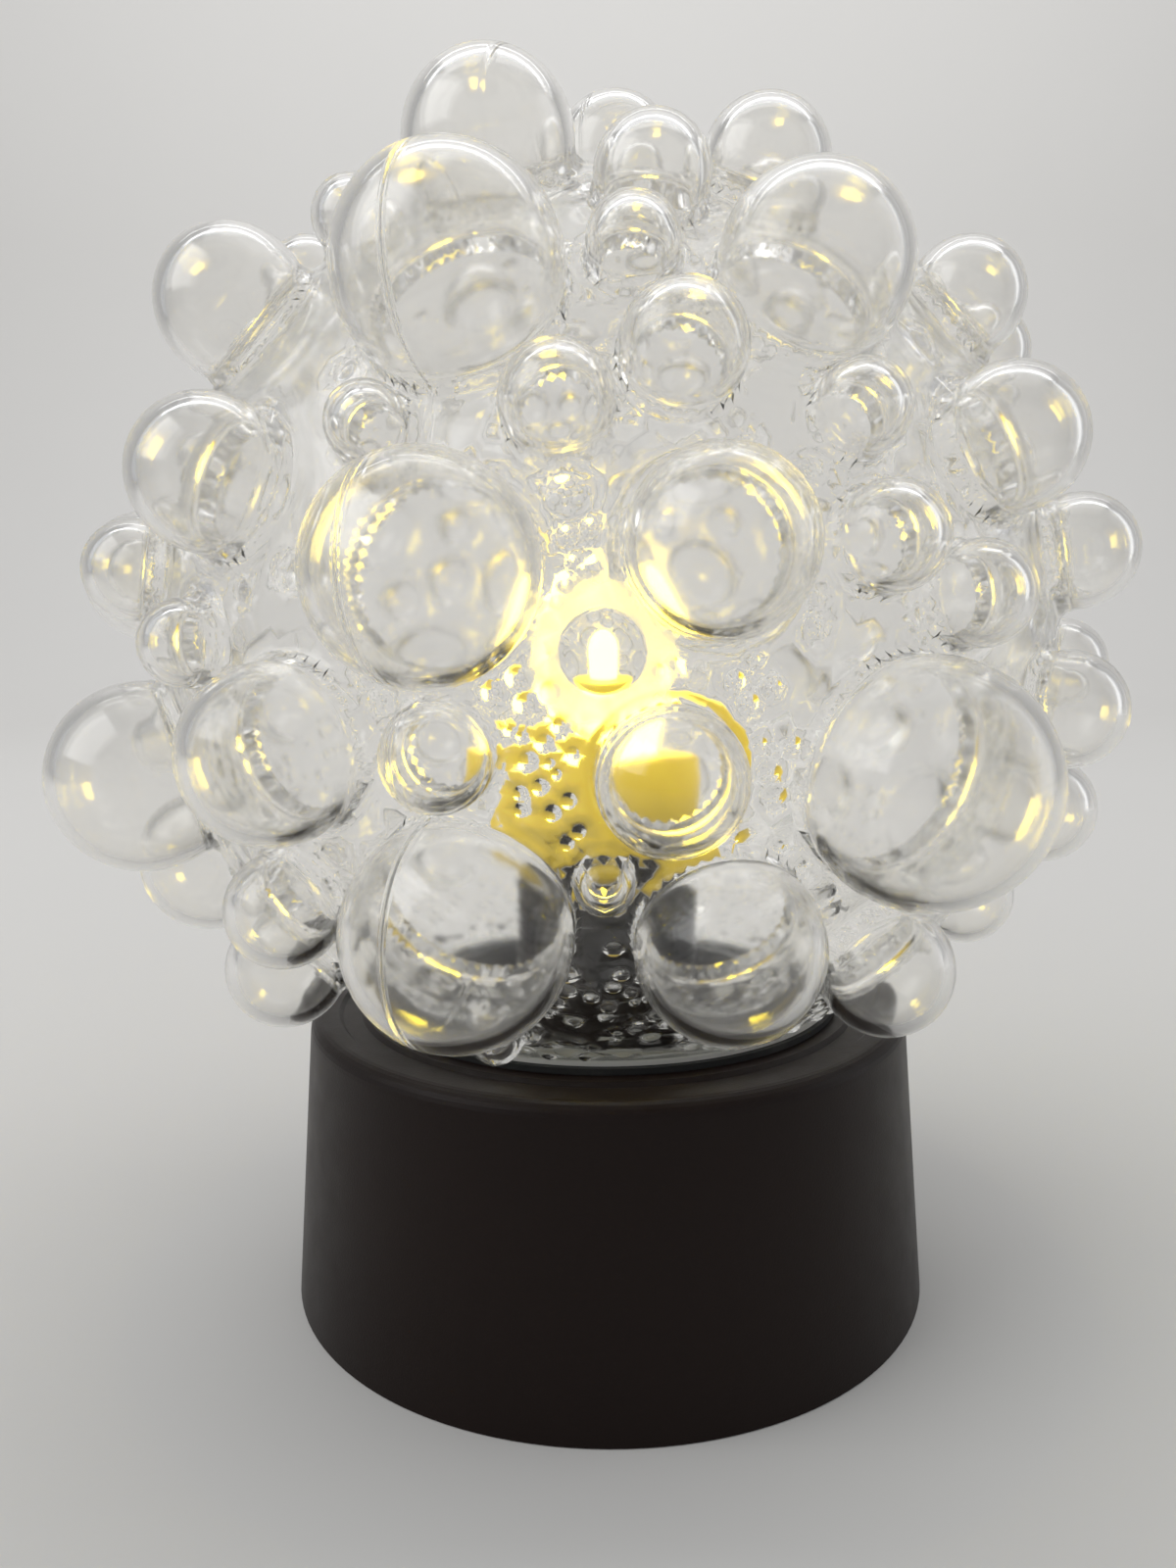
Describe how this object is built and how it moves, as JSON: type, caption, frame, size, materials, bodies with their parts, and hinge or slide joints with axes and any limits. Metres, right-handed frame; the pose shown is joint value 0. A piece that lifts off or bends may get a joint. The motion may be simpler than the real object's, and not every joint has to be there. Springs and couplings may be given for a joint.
{
  "type": "ceiling lamp",
  "caption": "Round ceiling lamp: a clear blown-glass shade covered in hollow bubbles screws into a dark plastic base, over a screw-cap bulb in a lampholder.",
  "frame": {"origin": "middle of the flat ceiling face of the base, on the lamp's axis", "axes": "+Z away from the ceiling through the base to the top of the glass, -Y to the front as pictured, +X to the right"},
  "size_m": [0.2026, 0.2078, 0.2347],
  "materials": {
    "base_plastic": "moulded, satin, dark brown-black",
    "black_rubber": "soft, dull black",
    "pale_plastic": "moulded, off-white",
    "brass": "pressed and turned, bare",
    "zinc_steel": "zinc plated",
    "holder_plastic": "moulded, half gloss, black",
    "pale_ceramic": "pressed, unglazed",
    "spring_bronze": "rolled spring strip",
    "shield_aluminium": "spun, half bright",
    "brown_sleeve": "extruded insulation, brown",
    "blue_sleeve": "extruded insulation, blue",
    "cap_metal": "rolled, nickel bright",
    "cap_insulator": "fused, glossy black",
    "tip_metal": "soldered, worn",
    "white_plastic": "moulded, white",
    "board_white": "white solder mask",
    "phosphor": "cast resin, yellow, lit",
    "opal": "frosted, lit",
    "washer_fibre": "translucent white sheet",
    "clear_glass": "clear, mould-blown, fire polished"
  },
  "bodies": {
    "base": {"base_housing": "base_plastic", "cable_grommet": "black_rubber", "terminal_block": "pale_plastic", "terminal_live": "brass", "terminal_neutral": "brass", "mounting_bracket": "zinc_steel", "bracket_screw_left": "zinc_steel", "bracket_screw_right": "zinc_steel", "nipple": "zinc_steel", "nipple_nut": "zinc_steel", "lampholder_cap": "holder_plastic", "lampholder_body": "holder_plastic", "contact_carrier": "pale_ceramic", "holder_shell": "brass", "live_post": "brass", "neutral_post": "brass", "heat_shield": "shield_aluminium", "ring_nut": "holder_plastic", "live_wire": "brown_sleeve", "neutral_wire": "blue_sleeve"},
    "contact": {"centre_contact": "spring_bronze"},
    "bulb_base": {"bulb_cap": "cap_metal", "bulb_insulator": "cap_insulator", "bulb_tip": "tip_metal"},
    "bulb_head": {"bulb_housing": "white_plastic", "led_board": "board_white", "led_chip": "phosphor", "bulb_envelope": "opal"},
    "gasket": {"shade_gasket": "black_rubber"},
    "washer": {"slip_washer": "washer_fibre"},
    "shade": {"glass_shade": "clear_glass"}
  },
  "joints": [
    {"name": "contact_spring", "type": "hinge", "parent": "base", "child": "contact", "pos_m": [0.009, 0, 0.055], "axis": [0, -1, 0], "range_deg": [0, 6], "stiffness_Nm_per_rad": 0.5},
    {"name": "bulb_rise", "type": "slide", "parent": "base", "child": "bulb_base", "axis": [0, 0, 1], "range_m": [0, 0.0182]},
    {"name": "bulb_turn", "type": "hinge", "parent": "bulb_base", "child": "bulb_head", "pos_m": [0, 0, 0.08], "axis": [0, 0, 1], "range_deg": [0, 1800]},
    {"name": "shade_lift", "type": "slide", "parent": "base", "child": "gasket", "axis": [0, 0, 1], "range_m": [0, 0.125]},
    {"name": "shade_rise", "type": "slide", "parent": "gasket", "child": "washer", "axis": [0, 0, 1], "range_m": [0, 0.0101]},
    {"name": "shade_turn", "type": "hinge", "parent": "washer", "child": "shade", "pos_m": [0, 0, 0.06], "axis": [0, 0, 1], "range_deg": [0, 720]}
  ],
  "couplings": [
    {"joint": "bulb_rise", "follows": "bulb_turn", "m_per_rad": 0.00057614},
    {"joint": "shade_rise", "follows": "shade_turn", "m_per_rad": 0.00079577}
  ]
}
